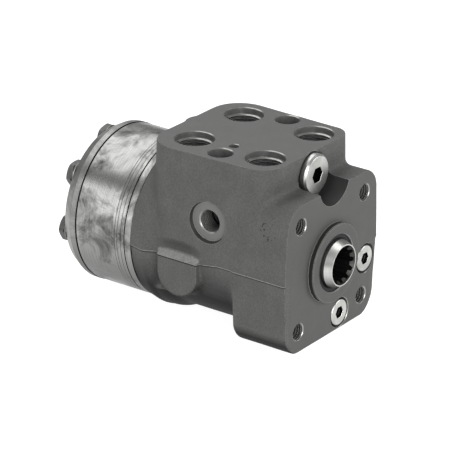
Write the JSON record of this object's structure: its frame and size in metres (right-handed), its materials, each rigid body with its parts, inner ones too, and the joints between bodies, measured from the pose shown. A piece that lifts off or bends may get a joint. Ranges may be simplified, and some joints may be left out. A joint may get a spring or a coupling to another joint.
{
  "type": "orbital steering unit",
  "caption": "Hydraulic rotary steering unit: cast housing with port block and column flange, splined spool nose, side sensing port, gerotor ring and screwed end cover.",
  "frame": {"origin": "centre of the four column screws on the front face of the flange", "axes": "+Y along the spool axis towards the gear set, +Z out of the port face"},
  "size_m": [0.0912, 0.1557, 0.1031],
  "materials": {
    "cast_iron": "fine sand-cast skin, faces milled",
    "ground_steel": "turned and ground, light oil stains",
    "turned_steel": "turned, bare",
    "hardened_steel": "hardened and ground",
    "screw_steel": "dull grey phosphate",
    "zinc_plug": "bright zinc plating",
    "spring_steel": "blued spring steel",
    "copper_washer": "plated sealing washer",
    "seal_rubber": "matt black nitrile"
  },
  "bodies": {
    "housing_body": {"housing": "cast_iron", "distributor_plate": "ground_steel", "gear_ring": "ground_steel", "end_cover": "turned_steel", "cover_screws": "screw_steel", "special_screw": "screw_steel", "screw_washers": "copper_washer", "housing_o_ring": "seal_rubber", "ring_o_ring": "seal_rubber", "cover_o_ring": "seal_rubber", "outer_race": "hardened_steel", "dust_seal": "seal_rubber", "shaft_seal": "seal_rubber", "relief_plug": "zinc_plug", "relief_plug_seal": "seal_rubber", "relief_adjuster": "turned_steel", "relief_spring": "spring_steel", "shock_plugs": "zinc_plug", "shock_plug_seals": "seal_rubber", "shock_adjusters": "turned_steel", "shock_spring_side": "spring_steel", "shock_spring_bottom": "spring_steel", "suction_pins": "turned_steel"},
    "sleeve_body": {"sleeve": "hardened_steel", "cross_pin": "hardened_steel", "spring_ring": "hardened_steel", "inner_race": "hardened_steel", "centring_springs": "spring_steel"},
    "spool_body": {"spool": "turned_steel"},
    "cage_body": {"needle_cage": "turned_steel", "needles": "hardened_steel"},
    "orbit_body": {"rotor_spacer": "turned_steel"},
    "rotor_body": {"rotor": "hardened_steel"},
    "cardan_body": {"cardan_shaft": "hardened_steel"},
    "relief_body": {"relief_poppet": "hardened_steel"},
    "shock_side_body": {"shock_ball_side": "hardened_steel"},
    "shock_bottom_body": {"shock_ball_bottom": "hardened_steel"},
    "check_body": {"check_ball": "hardened_steel"},
    "suction_bottom_body": {"suction_ball_bottom": "hardened_steel"},
    "suction_side_body": {"suction_ball_side": "hardened_steel"}
  },
  "joints": [
    {"name": "sleeve_turn", "type": "hinge", "parent": "housing_body", "child": "sleeve_body", "pos_m": [0, 0.05, 0], "axis": [0, 1, 0], "continuous": true},
    {"name": "spool_deflect", "type": "hinge", "parent": "sleeve_body", "child": "spool_body", "pos_m": [0, 0.05, 0], "axis": [0, 1, 0], "range_deg": [-8, 8], "stiffness_Nm_per_rad": 8, "deforming": ["centring_springs"]},
    {"name": "cage_turn", "type": "hinge", "parent": "housing_body", "child": "cage_body", "pos_m": [0, 0.01277, 0], "axis": [0, 1, 0], "continuous": true},
    {"name": "orbit_turn", "type": "hinge", "parent": "housing_body", "child": "orbit_body", "pos_m": [0, 0.1173, 0], "axis": [0, 1, 0], "continuous": true},
    {"name": "rotor_turn", "type": "hinge", "parent": "orbit_body", "child": "rotor_body", "pos_m": [0, 0.1173, -0.0027], "axis": [0, 1, 0], "continuous": true},
    {"name": "cardan_turn", "type": "hinge", "parent": "orbit_body", "child": "cardan_body", "pos_m": [0, 0.036, 0], "axis": [0, 0.9994, -0.0334], "continuous": true},
    {"name": "relief_lift", "type": "slide", "parent": "housing_body", "child": "relief_body", "axis": [0, -1, 0], "range_m": [0, 0.002], "stiffness_N_per_m": 4000, "springref_m": -0.002, "deforming": ["relief_spring"]},
    {"name": "shock_side_lift", "type": "slide", "parent": "housing_body", "child": "shock_side_body", "axis": [0, -1, 0], "range_m": [0, 0.0015], "stiffness_N_per_m": 3000, "springref_m": -0.0015, "deforming": ["shock_spring_side"]},
    {"name": "shock_bottom_lift", "type": "slide", "parent": "housing_body", "child": "shock_bottom_body", "axis": [0, -1, 0], "range_m": [0, 0.0015], "stiffness_N_per_m": 3000, "springref_m": -0.0015, "deforming": ["shock_spring_bottom"]},
    {"name": "check_lift", "type": "slide", "parent": "housing_body", "child": "check_body", "axis": [0, 1, 0], "range_m": [0, 0.0012]},
    {"name": "suction_bottom_lift", "type": "slide", "parent": "housing_body", "child": "suction_bottom_body", "axis": [0, 1, 0], "range_m": [0, 0.0012]},
    {"name": "suction_side_lift", "type": "slide", "parent": "housing_body", "child": "suction_side_body", "axis": [0, 1, 0], "range_m": [0, 0.0012]}
  ],
  "couplings": [
    {"joint": "cage_turn", "follows": "sleeve_turn", "ratio": 0.5},
    {"joint": "orbit_turn", "follows": "sleeve_turn", "ratio": -6},
    {"joint": "rotor_turn", "follows": "sleeve_turn", "ratio": 7},
    {"joint": "cardan_turn", "follows": "sleeve_turn", "ratio": 7}
  ]
}
